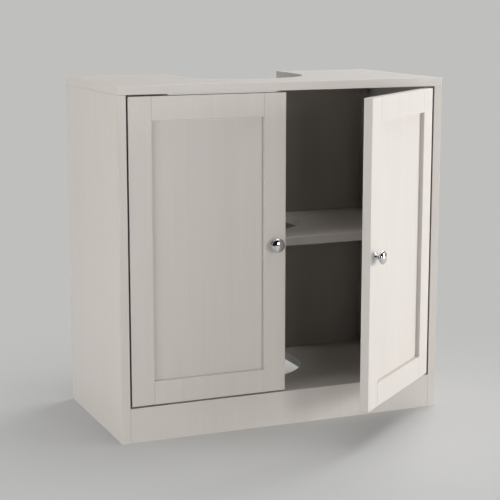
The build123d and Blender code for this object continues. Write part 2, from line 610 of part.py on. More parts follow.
def main():
    os.makedirs("parts", exist_ok=True)
    boards = carcass_boards()
    fittings = {"cam_locks": [], "cam_bolts": [], "dowels": [], "shelf_pegs": [],
                "hinge_arm_pins": [], "hinge_side_screws": []}

    for kind, seat, face_board, edge_board in joint_list():
        if kind == "cam":
            fitting = cam_fitting(seat)
            fittings["cam_bolts"].append(fitting["bolt"])
            fittings["cam_locks"].append(fitting["cam"])
        else:
            fitting = dowel_fitting(seat)
            fittings["dowels"].append(fitting["dowel"])
        boards[face_board] -= fitting["face"]
        boards[edge_board] -= fitting["edge"]

    for panel, peg, hole in shelf_pegs():
        fittings["shelf_pegs"].append(peg)
        boards[panel] -= hole

    screws, screw_holes = side_screws()
    for side in SIDES:
        for name, shape in door_parts().items():
            save(f"{side}_door_{name}", on_door(shape, side))
        door_screws, door_pins = [], []
        for place, height in HINGE_HEIGHTS.items():
            hinge = f"{side}_{place}_hinge"
            save(hinge + "_cup", on_door(hinge_cup(), side, height))
            save(hinge + "_arm", on_carcass(hinge_arm(), side, height))
            save(hinge + "_plate", on_carcass(mount_plate(), side, height))
            links = {**arm_links(OPENING[side]), **cup_links(OPENING[side])}
            for name, link in links.items():
                save(f"{hinge}_{name}", on_carcass(link, side, height))
            door_screws += [on_door(screw, side, height) for screw in cup_screws()[0]]
            door_pins += [on_door(pin, side, height) for pin in cup_pins()]
            fittings["hinge_arm_pins"] += [on_carcass(pin, side, height) for pin in arm_pins()]
            fittings["hinge_side_screws"] += [on_carcass(s, side, height) for s in screws]
            for hole in screw_holes:
                boards[side + "_side_panel"] -= on_carcass(hole, side, height)
        save(f"{side}_hinge_cup_screws", group(door_screws))
        save(f"{side}_hinge_cup_pins", group(door_pins))

    for name, solid in boards.items():
        save(name, solid)
    for name, solids in fittings.items():
        save(name, group(solids))


main()
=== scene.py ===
# %% [markdown]
# # A sink base cabinet in painted board
#
# The cabinet is a box of 15 mm boards with two inset doors, one of them open. The measured
# model is loaded first and never changed: this lesson only lights it, frames it, gives every
# piece its finish and makes again, more finely, the few small pieces whose look depends on it.
#
# All lengths are in metres. X runs along the front, Y from the front to the back and Z up.

# %% The measured model
import json
from math import cos, pi, radians, sin

import bmesh
import bpy
import numpy as np
from mathutils import Matrix, Vector


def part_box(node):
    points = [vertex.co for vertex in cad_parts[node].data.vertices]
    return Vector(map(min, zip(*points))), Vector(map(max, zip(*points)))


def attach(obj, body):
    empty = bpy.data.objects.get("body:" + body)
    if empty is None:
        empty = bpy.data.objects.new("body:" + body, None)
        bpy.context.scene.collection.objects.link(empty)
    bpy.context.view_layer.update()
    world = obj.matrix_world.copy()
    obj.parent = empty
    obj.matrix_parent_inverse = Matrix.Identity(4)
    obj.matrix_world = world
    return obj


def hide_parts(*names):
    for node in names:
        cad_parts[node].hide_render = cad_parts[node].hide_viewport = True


MILLIMETRES = 1000        # in a metre, for what is printed

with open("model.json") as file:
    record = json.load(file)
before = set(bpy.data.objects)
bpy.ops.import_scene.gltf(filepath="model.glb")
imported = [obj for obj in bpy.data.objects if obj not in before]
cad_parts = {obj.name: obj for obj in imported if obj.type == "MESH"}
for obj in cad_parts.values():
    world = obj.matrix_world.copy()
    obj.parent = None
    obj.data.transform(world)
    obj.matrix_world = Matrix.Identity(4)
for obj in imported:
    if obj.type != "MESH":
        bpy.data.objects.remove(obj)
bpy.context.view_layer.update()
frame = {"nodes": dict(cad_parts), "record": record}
scene = bpy.context.scene
nodes = frame["nodes"]
joints = {joint["name"]: joint for joint in frame["record"]["behaviour"]["joints"]}
print("pieces in the model:", len(nodes))

# %% [markdown]
# ## The camera
#
# A photograph of a box holds enough to find its camera: three sets of parallel edges give the
# direction and the lens, and the known width gives the distance. The camera could be turned
# towards a target object instead, but a matrix made of its three own axes says the same in a
# few numbers, and needs no constraint.

# %% Camera
CAMERA_PLACE = Vector((-0.99226, -2.19638, 0.75016))
CAMERA_AZIMUTH = radians(-22.824)     # 0 looks along +Y, and a negative one comes from the left
CAMERA_ELEVATION = radians(10.320)
FOCAL_PIXELS = 1422.76
IMAGE_PIXELS = 500
SENSOR = 36.0             # the width of the film, in millimetres


def camera_axes(azimuth, elevation):
    """The camera's right, up and back, as the columns of a matrix."""
    right = Vector((cos(azimuth), sin(azimuth), 0))
    back = Vector((sin(azimuth) * cos(elevation), -cos(azimuth) * cos(elevation), sin(elevation)))
    up = back.cross(right)
    return Matrix((right, up, back)).transposed()


camera = bpy.data.objects.new("camera", bpy.data.cameras.new("camera"))
camera.data.sensor_width = SENSOR
camera.data.lens = SENSOR * FOCAL_PIXELS / IMAGE_PIXELS
turn = camera_axes(CAMERA_AZIMUTH, CAMERA_ELEVATION).to_4x4()
camera.matrix_world = Matrix.Translation(CAMERA_PLACE) @ turn
scene.collection.objects.link(camera)
scene.camera = camera
print("lens in mm:", round(camera.data.lens, 2))

# %% [markdown]
# ## Shader maths
#
# A finish is arithmetic on a few patterns. Nodes can be linked one at a time, but then the
# formula disappears in the wiring. A small class that stands for a node's output and knows how
# to add, subtract and multiply keeps the formula readable, also with a plain number on either
# side, and one method makes every other kind of node.


# %% Node helpers
class Field:
    """An output socket that can be used in arithmetic: each operator adds one Math node."""

    def __init__(self, graph, socket):
        self.graph = graph
        self.socket = socket

    def __add__(self, other):
        return self.graph.maths("ADD", self, other)

    def __radd__(self, other):
        return self.graph.maths("ADD", other, self)

    def __sub__(self, other):
        return self.graph.maths("SUBTRACT", self, other)

    def __rsub__(self, other):
        return self.graph.maths("SUBTRACT", other, self)

    def __mul__(self, other):
        return self.graph.maths("MULTIPLY", self, other)

    def __rmul__(self, other):
        return self.graph.maths("MULTIPLY", other, self)


class Graph:
    """A node tree, and the one way in which nodes are added to it."""

    MIX_LOW, MIX_HIGH, MIX_RESULT = 6, 7, 2     # a Mix node's sockets for colours

    def __init__(self, tree):
        self.tree = tree
        self.tree.nodes.clear()

    def node(self, kind, inputs=None, settings=None, out=0):
        """Adds a node. Its settings come first, because they decide which sockets it has."""
        made = self.tree.nodes.new(kind)
        for name, value in (settings or {}).items():
            setattr(made, name, value)
        for name, value in (inputs or {}).items():
            socket = made.inputs[name]
            if isinstance(value, Field):
                self.tree.links.new(value.socket, socket)
            else:
                socket.default_value = value
        return Field(self, made.outputs[out]) if len(made.outputs) else made

    def maths(self, operation, first, second=0.0):
        return self.node("ShaderNodeMath", {0: first, 1: second}, {"operation": operation})

    def blend(self, factor, low, high):
        """A colour between two others."""
        inputs = {0: factor, self.MIX_LOW: low, self.MIX_HIGH: high}
        return self.node("ShaderNodeMix", inputs, {"data_type": "RGBA"}, out=self.MIX_RESULT)

    def scaled(self, colour, factor):
        """A colour made lighter or darker. A Math node would turn it grey."""
        inputs = {0: colour, "Scale": factor}
        return self.node("ShaderNodeVectorMath", inputs, {"operation": "SCALE"})

    def mapped(self, factor, low, high):
        """A factor turned into a value between two others, held within them."""
        inputs = {"Value": factor, "To Min": low, "To Max": high}
        return self.node("ShaderNodeMapRange", inputs)


def new_graph(name):
    material = bpy.data.materials.new(name)
    material.use_nodes = True
    return material, Graph(material.node_tree)


def linear(red, green, blue):
    """A screen's sRGB colour, from 0 to 255, in the linear values that a shader takes."""
    def one(value):
        value /= 255
        return value / 12.92 if value <= 0.04045 else ((value + 0.055) / 1.055) ** 2.4
    return (one(red), one(green), one(blue), 1.0)


def shade(colour, factor):
    return tuple(channel * factor for channel in colour[:3]) + (1.0,)


# %% [markdown]
# ## The studio
#
# The cabinet stands on a pale grey floor that runs into an equally grey background with no
# line between them. A curved backdrop would do that for one camera. A wide round floor that
# fades, away from the cabinet, into the background's own grey does it for a camera on any side.
# Light Path tells the rays apart, so that neither the fade nor the world adds light to the
# cabinet: its inside is dark because so little light finds a way in, and painted shade darkens it
# further, while a glowing world would fill it. The camera sees the grey all round. Mirror-like
# surfaces see it behind the cabinet, and the dark half of the studio, where the camera stands, in
# front. Chrome needs both: without something dark to reflect it looks like pale plastic.

# %% Floor and world
BACKGROUND = linear(191, 191, 190)
FLOOR = linear(193, 193, 192)
FLOOR_ROUGHNESS = 0.75
FLOOR_RADIUS = 40.0
FLOOR_SIDES = 96
FADE_START = 0.15         # from the middle of the cabinet's front
FADE_END = 0.9
BLACK = (0.0, 0.0, 0.0, 1.0)
DARK_ROOM = linear(22, 22, 23)
WALL_SOFTNESS = 0.15      # half the width of the change from dark room to pale wall


def make_floor():
    mesh = bpy.data.meshes.new("floor")
    shape = bmesh.new()
    bmesh.ops.create_circle(shape, cap_ends=True, segments=FLOOR_SIDES, radius=FLOOR_RADIUS)
    shape.to_mesh(mesh)
    shape.free()
    floor = bpy.data.objects.new("floor", mesh)
    scene.collection.objects.link(floor)

    material, graph = new_graph("studio_floor")
    place = graph.node("ShaderNodeTexCoord", out="Object")
    distance = graph.node("ShaderNodeVectorMath", {0: place}, {"operation": "LENGTH"}, out="Value")
    fade = graph.node("ShaderNodeMapRange",
                      {"Value": distance, "From Min": FADE_START, "From Max": FADE_END},
                      {"interpolation_type": "SMOOTHSTEP"})
    near = graph.node("ShaderNodeBsdfPrincipled",
                      {"Base Color": FLOOR, "Roughness": FLOOR_ROUGHNESS})
    far = graph.node("ShaderNodeEmission", {"Color": BACKGROUND})
    seen = graph.node("ShaderNodeLightPath", out="Is Camera Ray")
    surface = graph.node("ShaderNodeMixShader", {0: fade * seen, 1: near, 2: far})
    graph.node("ShaderNodeOutputMaterial", {"Surface": surface})
    mesh.materials.append(material)


def make_world():
    world = bpy.data.worlds.new("studio")
    world.use_nodes = True
    scene.world = world
    graph = Graph(world.node_tree)
    seen = graph.node("ShaderNodeLightPath", out="Is Camera Ray")
    mirrored = graph.node("ShaderNodeLightPath", out="Is Glossy Ray")
    through = graph.node("ShaderNodeLightPath", out="Is Transmission Ray")
    facing = graph.node("ShaderNodeTexCoord", out="Generated")
    behind = graph.node("ShaderNodeSeparateXYZ", {"Vector": facing}, out="Y")
    wall = graph.node("ShaderNodeMapRange", {"Value": behind, "From Min": -WALL_SOFTNESS,
                                             "From Max": WALL_SOFTNESS})
    reflected = graph.blend(wall, DARK_ROOM, BACKGROUND)
    unlit = graph.blend(mirrored + through, BLACK, reflected)
    colour = graph.blend(seen, unlit, BACKGROUND)
    surface = graph.node("ShaderNodeBackground", {"Color": colour})
    graph.node("ShaderNodeOutputWorld", {"Surface": surface})


make_floor()
make_world()
scene.view_settings.view_transform = "Standard"
print("floor across in metres:", 2 * FLOOR_RADIUS)

# %% [markdown]
# ## The lamps
#
# Pale paint shows its edges only when neighbouring faces differ in light. The open door is the
# brightest face in the photograph and shades the shut one, so most of the light comes from the
# right. Two lamps low on the left light the side panel and give every raised edge a soft shadow,
# which is how the depth of the door panels is seen. The small lamp in front throws the open
# door's shadow on the plinth, and a weak low one reaches the back of the shelf.
#
# Their powers were found by rendering each lamp alone and solving for the mix that comes nearest
# to the photograph: light adds up, so one small least-squares sum replaces most of a long search,
# and a few powers were then changed. Five lamps are hidden from mirror-like surfaces, because the
# photographed knobs are dark there.

# %% Lamps
LAMPS = {
    # name: degrees round from the front, positive to the right, degrees up, distance and edge
    # length in metres, power in watts, and whether shiny surfaces show it
    "right": (75, 5, 3.2, 1.1, 50.0, True),
    "right_front": (55, 8, 3.2, 1.3, 20.0, False),
    "right_top": (60, 70, 3.2, 1.6, 17.0, True),
    "right_back": (120, 50, 3.2, 1.6, 48.0, True),
    "front": (16, 10, 3.2, 0.7, 20.0, True),
    "front_low": (0, 3, 3.2, 1.2, 7.0, False),
    "front_high": (-15, 50, 3.2, 1.6, 7.5, False),
    "left_front": (-60, 5, 2.0, 1.0, 11.0, False),
    "left_back": (-100, 8, 2.0, 1.6, 19.0, False),
    "overhead": (0, 88, 3.2, 1.6, 18.0, True),
}
LAMP_TARGET = Vector((0.0, 0.1, 0.3))

for name, (around, height, distance, size, power, shown) in LAMPS.items():
    around, height = radians(around), radians(height)
    aim = Vector((sin(around) * cos(height), -cos(around) * cos(height), sin(height)))
    lamp = bpy.data.objects.new(name, bpy.data.lights.new(name, "AREA"))
    lamp.data.size = size
    lamp.data.energy = power
    lamp.location = LAMP_TARGET + distance * aim
    lamp.rotation_euler = aim.to_track_quat("Z", "Y").to_euler()
    lamp.visible_glossy = shown
    scene.collection.objects.link(lamp)
print("lamps:", len(LAMPS), "watts:", sum(power for *_, power, _ in LAMPS.values()))

# %% [markdown]
# ## Painted board: the grain
#
# The boards are faced with a warm off-white that keeps a trace of the wood's grain, always
# upright on the front. A Wave texture would draw lines that are too even. Grain here is noise
# stretched along one direction: a Mapping node of the Texture kind divides the place by the size
# of a streak, so the numbers are real lengths. Real grain varies at several sizes at once, so
# fine streaks, wider bands and soft clouds are added up, each with its own weight.

# %% Grain
STREAK_ACROSS = 0.0034
STREAK_ALONG = 0.220
BAND_ACROSS = 0.012
BAND_ALONG = 0.350
CLOUD_ALONG = 0.16
CLOUD_ACROSS = CLOUD_ALONG / 3
STREAK_WEIGHT = 0.4
BAND_WEIGHT = 0.35
CLOUD_WEIGHT = 0.25


def grain_pattern(graph, grain, turned, shift, across, along):
    """Streaks along a grain direction, after a turn about the vertical."""
    place = graph.node("ShaderNodeTexCoord", out="Object")
    size = [across, across, across]
    size["XYZ".index(grain)] = along
    stretched = graph.node("ShaderNodeMapping",
                           {"Vector": place, "Location": (shift, -shift, shift),
                            "Rotation": (0, 0, turned), "Scale": size},
                           {"vector_type": "TEXTURE"})
    return graph.node("ShaderNodeTexNoise",
                      {"Vector": stretched, "Scale": 1.0, "Detail": 4.0, "Roughness": 0.62})


# %% [markdown]
# ## Painted board: painted shade inside
#
# The upright faces inside the cabinet, the underside of the top and the edges of the shelf are
# painted darker: this is painted shade, for the little light that finds its way in. A second
# material on those faces would change the model's meshes, which stay as they are. A mask that is
# 1 inside the box of the inner faces finds them by their place, also on the side panels, whose
# other face is outside. The plinth and the top faces of the shelf and the bottom get a share of
# the same painted shade.

# %% Masks for the inside
INSIDE_REACH = 0.0002     # how far past the inner faces the box of the mask reaches
FRONT_MARGIN = 0.001      # the boards' front edges keep the outer paint, and this much behind them
# Shares of the painted shade: on the plinth, and on the top faces of the bottom and the shelf.
PLINTH_SHARE = 0.4        # the plinth's upper edge is well lit
BOTTOM_SHARE = 0.5
SHELF_SHARE = 0.1


def place_on(graph):
    """The three coordinates of the shaded point, in metres."""
    place = graph.node("ShaderNodeTexCoord", out="Object")
    return [graph.node("ShaderNodeSeparateXYZ", {"Vector": place}, out=axis) for axis in "XYZ"]


def inside_shade_mask(graph):
    """1 on the faces inside the cabinet, where shade is painted, 0 elsewhere."""
    right_low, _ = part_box("right_side_panel")
    top_low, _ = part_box("top_panel")
    back_low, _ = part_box("right_back_board")
    x, y, z = place_on(graph)
    mask = graph.maths("LESS_THAN", graph.maths("ABSOLUTE", x), right_low[0] + INSIDE_REACH)
    mask = mask * graph.maths("LESS_THAN", z, top_low[2] + INSIDE_REACH)
    mask = mask * graph.maths("LESS_THAN", y, back_low[1] + INSIDE_REACH)
    return mask * graph.maths("GREATER_THAN", y, top_low[1] + FRONT_MARGIN)


def plinth_shade_mask(graph):
    """The plinth's share of the painted inside shade."""
    return inside_shade_mask(graph) * PLINTH_SHARE


def edge_shade_mask(name, top):
    """Painted shade: 1 on all of a level board but its top face, which gets a share of it."""
    def mask(graph):
        below = graph.maths("LESS_THAN", place_on(graph)[2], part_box(name)[1][2] - INSIDE_REACH)
        return graph.mapped(below, top, 1.0)
    return mask


# %% [markdown]
# ## Painted board: creases and seams
#
# Where a door's panel enters its frame, where rail meets stile, where the top lies on the sides
# and where the plinth meets them, the photograph shows a thin dark line. Such a crease is a dark
# joint a tenth of a millimetre wide with shade in it, which no measured model holds, so joint and
# shade are painted: a factor that falls with the distance to the joint. Just under the top rails
# the line is a lighter one, a painted light line for light bounced off the rail, and a door's edge
# beside its hinges gets painted shade for the gap.
#
# A door's joints run along X and Z only while it is shut. So the shader turns each point of an
# open door back about the hinge, mirrors the right door onto the left, and reads the distances
# from the shut left door's boxes.

# %% Creases and seams
# Painted shade with the dark joint line round a panel, where it enters its groove.
CREASE = (0.0012, 0.35)   # how wide the dark line round a panel is, and how dark at its darkest
JOINT = (0.0005, 0.35)    # between stile and rail
# Painted shade on a door's edge beside its hinges, for the gap it stands in.
EDGE = (0.0002, 0.65)     # a door's edge beside its hinges, hidden in the gap
SEAM = (0.0006, 0.30)     # where the top lies on the sides, and where the plinth meets them
# A painted light line: the panel just under the top rail is lighter, as by light bounced off it.
PAINTED_LIGHT_LINE = (0.0040, -0.14)    # the panel just under the top rail is a little lighter


def open_angle(side):
    """How far a door stands open, from where its joint's range starts."""
    return -radians(joints[side + "_door_hinge"]["range_deg"][0])


def line_shade(graph, distance, width, depth):
    """A factor that leaves 1 within a width of a line. A depth below 0 makes it lighter."""
    return graph.node("ShaderNodeMapRange",
                      {"Value": distance, "From Max": width, "To Min": 1 - depth})


def crease_shade(graph, side, part):
    """Joint lines, painted shade and painted light, as factors on a door part's colour."""
    outer, left = (corner[0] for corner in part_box("left_door_hinge_stile"))
    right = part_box("left_door_knob_stile")[0][0]
    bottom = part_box("left_door_bottom_rail")[1][2]
    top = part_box("left_door_top_rail")[0][2]
    sign = -1 if side == "left" else 1
    place = graph.node("ShaderNodeTexCoord", out="Object")
    shut = graph.node("ShaderNodeVectorRotate",
                      {"Vector": place, "Center": (-sign * outer, 0.0, 0.0),
                       "Angle": -sign * open_angle(side)}, {"rotation_type": "Z_AXIS"})
    x, z = (graph.node("ShaderNodeSeparateXYZ", {"Vector": shut}, out=axis) for axis in "XZ")
    x = x * -sign
    across = (right - left) / 2 - graph.maths("ABSOLUTE", x - (left + right) / 2)
    if part == "panel":
        dark = line_shade(graph, graph.maths("MINIMUM", across, z - bottom), *CREASE)
        return dark * line_shade(graph, top - z, *PAINTED_LIGHT_LINE)
    factor = line_shade(graph, x - outer, *EDGE)
    if part.endswith("rail"):
        factor = factor * line_shade(graph, graph.maths("ABSOLUTE", across), *JOINT)
    return factor


def seam_shade(graph, name):
    """What a cabinet board's colour is multiplied by where it meets another."""
    x, _, z = place_on(graph)
    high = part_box(name)[1]
    if name == "plinth_board":
        return line_shade(graph, high[0] - graph.maths("ABSOLUTE", x), *SEAM)
    return line_shade(graph, high[2] - z, *SEAM)


# %% [markdown]
# ## Painted board: all the boards
#
# One material could serve every board, but then the pattern would run on from board to board as
# if the cabinet were carved from a block. Each board has its own material instead, which starts
# at its own place in the pattern, because no two boards are cut from one spot. An open door's
# pattern is turned with it.

# %% Painted boards
PAINT = linear(208, 202, 196)
# The darker paint inside is painted shade.
PAINTED_INSIDE_SHADE = linear(164, 158, 152)
PAINT_ROUGHNESS = (0.38, 0.52)
GRAIN_CONTRAST = 0.095
GRAIN_DEPTH = 0.00008
GRAIN_STRENGTH = 0.6
BOARD_SHIFT = 0.73        # between one board's place in the pattern and the next one's

LEVEL_BOARDS = (("top_panel", inside_shade_mask),
                ("bottom_panel", edge_shade_mask("bottom_panel", BOTTOM_SHARE)),
                ("shelf", edge_shade_mask("shelf", SHELF_SHARE)))
UPRIGHT_BOARDS = (("left_side_panel", inside_shade_mask), ("right_side_panel", inside_shade_mask),
                  ("left_back_board", inside_shade_mask), ("right_back_board", inside_shade_mask),
                  ("plinth_board", plinth_shade_mask))
SEAMED_BOARDS = ("left_side_panel", "right_side_panel", "plinth_board")
DOOR_BOARDS = ("hinge_stile", "knob_stile", "top_rail", "bottom_rail", "panel")


def painted_board(name, grain, turned, shift, darker, door):
    material, graph = new_graph("paint_" + name)
    streaks = grain_pattern(graph, grain, turned, shift, STREAK_ACROSS, STREAK_ALONG)
    bands = grain_pattern(graph, grain, turned, shift, BAND_ACROSS, BAND_ALONG)
    clouds = grain_pattern(graph, grain, turned, shift, CLOUD_ACROSS, CLOUD_ALONG)
    mixed = streaks * STREAK_WEIGHT + bands * BAND_WEIGHT + clouds * CLOUD_WEIGHT
    tone = graph.mapped(mixed, 0.0, 1.0)
    # Painted shade: the inside faces blend towards the darker copy of the paint.
    paint = graph.blend(darker(graph) if darker else 0.0, PAINT, PAINTED_INSIDE_SHADE)
    colour = graph.scaled(paint, graph.mapped(tone, 1 - GRAIN_CONTRAST, 1 + GRAIN_CONTRAST))
    # Dark joint lines with painted shade, a painted light line and painted shade in the gaps.
    if door:
        colour = graph.scaled(colour, crease_shade(graph, *door))
    if name in SEAMED_BOARDS:
        colour = graph.scaled(colour, seam_shade(graph, name))
    bump = graph.node("ShaderNodeBump", {"Height": streaks, "Distance": GRAIN_DEPTH,
                                         "Strength": GRAIN_STRENGTH})
    surface = graph.node("ShaderNodeBsdfPrincipled",
                         {"Base Color": colour, "Normal": bump,
                          "Roughness": graph.mapped(streaks, *PAINT_ROUGHNESS)})
    graph.node("ShaderNodeOutputMaterial", {"Surface": surface})
    return material


def dress(name, material):
    """Gives a piece of the model its finish."""
    for slot in nodes[name].material_slots:
        slot.material = material


boards = [(name, "X", 0.0, darker, None) for name, darker in LEVEL_BOARDS]
boards += [(name, "Z", 0.0, darker, None) for name, darker in UPRIGHT_BOARDS]
for side, sign in (("left", -1), ("right", 1)):
    boards += [(f"{side}_door_{part}", "Z", sign * open_angle(side), None, (side, part))
               for part in DOOR_BOARDS]
for number, (name, grain, turned, darker, door) in enumerate(boards):
    dress(name, painted_board(name, grain, turned, number * BOARD_SHIFT, darker, door))
print("painted boards:", len(boards))

# %% [markdown]
# ## Metals and beech
#
# The hinges are nickel-plated steel, a little soft in its shine from rolling and pressing, and
# the cams are cast zinc, duller and mottled, and so are their bolts here. Both are the metallic
# form of the principled shader, told apart by colour and by how rough they are. Chrome needs
# almost no roughness, but a trace of unevenness stops it from looking like a perfect mirror.
# The dowels are plain beech, whose short fibres are the boards' grain pattern made small.

# %% Metal and beech finishes
NICKEL = linear(206, 202, 194)
ZINC = linear(176, 178, 181)
CHROME = linear(228, 228, 230)
SPECK_SHADE = 0.93        # of the metal's colour, in its darkest specks
BEECH_LIGHT = linear(214, 180, 135)
BEECH_DARK = linear(176, 134, 88)
FIBRE_ACROSS = 0.0006
FIBRE_ALONG = 0.012


def metal(name, colour, smooth, rough, speck, depth):
    """A metal whose roughness and surface vary over specks of a given size."""
    material, graph = new_graph(name)
    place = graph.node("ShaderNodeTexCoord", out="Object")
    noise = graph.node("ShaderNodeTexNoise", {"Vector": place, "Scale": 1 / speck, "Detail": 3.0})
    tint = graph.blend(noise, shade(colour, SPECK_SHADE), colour)
    bump = graph.node("ShaderNodeBump", {"Height": noise, "Distance": depth, "Strength": 0.5})
    surface = graph.node("ShaderNodeBsdfPrincipled",
                         {"Base Color": tint, "Metallic": 1.0, "Normal": bump,
                          "Roughness": graph.mapped(noise, smooth, rough)})
    graph.node("ShaderNodeOutputMaterial", {"Surface": surface})
    return material


def beech(name):
    material, graph = new_graph(name)
    fibres = grain_pattern(graph, "X", 0.0, 0.0, FIBRE_ACROSS, FIBRE_ALONG)
    colour = graph.blend(fibres, BEECH_DARK, BEECH_LIGHT)
    bump = graph.node("ShaderNodeBump", {"Height": fibres, "Distance": 0.0001, "Strength": 0.5})
    surface = graph.node("ShaderNodeBsdfPrincipled",
                         {"Base Color": colour, "Roughness": 0.7, "Normal": bump})
    graph.node("ShaderNodeOutputMaterial", {"Surface": surface})
    return material


nickel = metal("nickel_plate", NICKEL, smooth=0.22, rough=0.34, speck=0.002, depth=0.00002)
zinc = metal("cast_zinc", ZINC, smooth=0.42, rough=0.58, speck=0.0012, depth=0.00004)
chrome = metal("chrome", CHROME, smooth=0.05, rough=0.09, speck=0.006, depth=0.000004)

nickel_nodes = [name for name in nodes if "hinge_" in name and not name.endswith("stile")]
for name in nickel_nodes + ["shelf_pegs"]:
    dress(name, nickel)
dress("cam_locks", zinc)
dress("cam_bolts", zinc)
dress("dowels", beech("beech"))
print("hinge pieces in nickel:", len(nickel_nodes))

# %% [markdown]
# ## Turned shapes
#
# Knobs, screws and rivets are turned on a lathe or pressed round. Such a piece is its profile
# carried round an axis. Blender's Screw modifier does that too, and its points on the axis would
# then have to be merged. A few lines of bmesh make one point there from the start, so the piece
# is closed. Curves in the profile are Bezier curves, which need only a pull at each end.

# %% Turned shapes
ON_AXIS = 1e-7            # a smaller radius is a single point


def curve(start, start_pull, end_pull, end, steps):
    """Points along a Bezier curve, without its first point."""
    points = []
    for step in range(1, steps + 1):
        t = step / steps
        weights = ((1 - t) ** 3, 3 * t * (1 - t) ** 2, 3 * t * t * (1 - t), t ** 3)
        corners = (start, start_pull, end_pull, end)
        points.append(tuple(sum(w * c[axis] for w, c in zip(weights, corners)) for axis in (0, 1)))
    return points


def turned_mesh(name, profile, steps):
    """A closed mesh from a profile of (radius, height) points that starts and ends on the axis."""
    shape = bmesh.new()
    rings = []
    for radius, height in profile:
        if radius < ON_AXIS:
            rings.append([shape.verts.new((0, 0, height))])
            continue
        angles = [2 * pi * step / steps for step in range(steps)]
        rings.append([shape.verts.new((radius * cos(a), radius * sin(a), height)) for a in angles])
    for low, high in zip(rings, rings[1:]):
        for step in range(steps):
            after = (step + 1) % steps
            corners = [low[step % len(low)], low[after % len(low)],
                       high[after % len(high)], high[step % len(high)]]
            shape.faces.new(list(dict.fromkeys(corners)))
    bmesh.ops.recalc_face_normals(shape, faces=shape.faces)
    for face in shape.faces:
        face.smooth = True
    mesh = bpy.data.meshes.new(name)
    shape.to_mesh(mesh)
    shape.free()
    return mesh


# %% [markdown]
# ## The knob's profile
#
# Each door has a chromed knob: a small foot, a thin neck and a domed head. The model's own knob
# is made of flat facets, which a mirror finish would show, so it is turned again here in many
# small steps. Its outline was read from the photograph, which shows one knob from in front and
# the other more from its side.

# %% Knob profile
KNOB_FOOT_RADIUS = 0.0080
KNOB_FOOT_HEIGHT = 0.0020
KNOB_FOOT_EDGE = 0.0003   # how far the foot's two edges are broken
KNOB_NECK_RADIUS = 0.0045
KNOB_NECK_HEIGHT = 0.0060
KNOB_HEAD_RADIUS = 0.0120
KNOB_RIM_HEIGHT = 0.0140
KNOB_HEIGHT = 0.0190
KNOB_STEPS = 64

# Where the curves are pulled to, measured from the neck, the rim and, for the crown, the axis.
NECK_FLARE = 0.0004       # outwards, along the top of the foot
NECK_BELOW = 0.0025
NECK_ABOVE = 0.0030
RIM_BELOW = 0.0042
RIM_ABOVE = 0.0026
CROWN_REACH = 0.0068      # outwards, along the top of the head
NECK_STEPS = 8
BACK_STEPS = 12
DOME_STEPS = 16


def knob_profile():
    foot = (KNOB_FOOT_RADIUS, KNOB_FOOT_HEIGHT)
    neck = (KNOB_NECK_RADIUS, KNOB_NECK_HEIGHT)
    rim = (KNOB_HEAD_RADIUS, KNOB_RIM_HEIGHT)
    top = (0.0, KNOB_HEIGHT)
    edge = KNOB_FOOT_EDGE
    points = [(0.0, 0.0), (foot[0] - edge, 0.0), (foot[0], edge), (foot[0], foot[1] - edge),
              (foot[0] - edge, foot[1])]
    to_neck = curve(foot, (neck[0] + NECK_FLARE, foot[1]), (neck[0], neck[1] - NECK_BELOW),
                    neck, NECK_STEPS)
    points += to_neck[1:]     # the foot's broken edge stands for the first step
    points += curve(neck, (neck[0], neck[1] + NECK_ABOVE), (rim[0], rim[1] - RIM_BELOW),
                    rim, BACK_STEPS)
    points += curve(rim, (rim[0], rim[1] + RIM_ABOVE), (CROWN_REACH, top[1]), top, DOME_STEPS)
    return points


print("points in the knob's profile:", len(knob_profile()))

# %% [markdown]
# ## Places read from the model
#
# A knob stands where the model's own knob has the middle of its foot, and a screw where the
# model's plain screw does. Their places could be written down, but then a change in the model
# would leave them behind. One node holds all the screws of its kind in a single mesh, so these
# are told apart by walking from face to joined face.

# %% Places read from the model
SAME_PLACE = 1e-6         # points nearer than this are one
FOOT_SLACK = 1e-5         # how far above its lowest point a solid's foot reaches
ORDER_DIGITS = 4          # solids are put in order by their lowest corners, to 0.1 mm


def separate_solids(name):
    """The vertices of each solid in a node, as arrays, found by walking its joined faces.

    A set gives its points in another order in each run, so the points and the solids are
    both sorted. A screw then gets the same random turn every time.
    """
    shape = bmesh.new()
    shape.from_mesh(nodes[name].data)
    bmesh.ops.remove_doubles(shape, verts=shape.verts, dist=SAME_PLACE)
    unseen = set(shape.verts)
    solids = []
    while unseen:
        edge = [unseen.pop()]
        found = []
        while edge:
            vertex = edge.pop()
            found.append(vertex.co[:])
            near = {other for link in vertex.link_edges for other in link.verts} & unseen
            unseen -= near
            edge.extend(near)
        solids.append(np.array(sorted(found)))
    shape.free()
    return sorted(solids, key=lambda solid: tuple(solid.min(axis=0).round(ORDER_DIGITS)))


def measure_turned(vertices, facing):
    """For a turned solid that points along a direction: its foot, its length, and its largest
    radius and the radius at its foot."""
    facing = np.array(facing)
    along = vertices @ facing
    at_foot = along < along.min() + FOOT_SLACK
    foot = vertices[at_foot]
    centre = (foot.min(axis=0) + foot.max(axis=0)) / 2
    offsets = vertices - centre
    radial = np.linalg.norm(offsets - np.outer(offsets @ facing, facing), axis=1)
    return centre, along.max() - along.min(), radial.max(), radial[at_foot].max()


def door_front(side):
    """The direction that a door's front face looks in, as it stands."""
    sign = -1 if side == "left" else 1
    angle = open_angle(side)
    return (sign * sin(angle), -cos(angle), 0.0)


# %% [markdown]
# ## Knobs
#
# The knob is made along Z at the middle of the scene and moved to its door in its mesh. Moving
# the object would do for a picture, but a piece that sits at the origin, like the model's own,
# keeps its finish where it is when the model is passed on. It rides on its door.


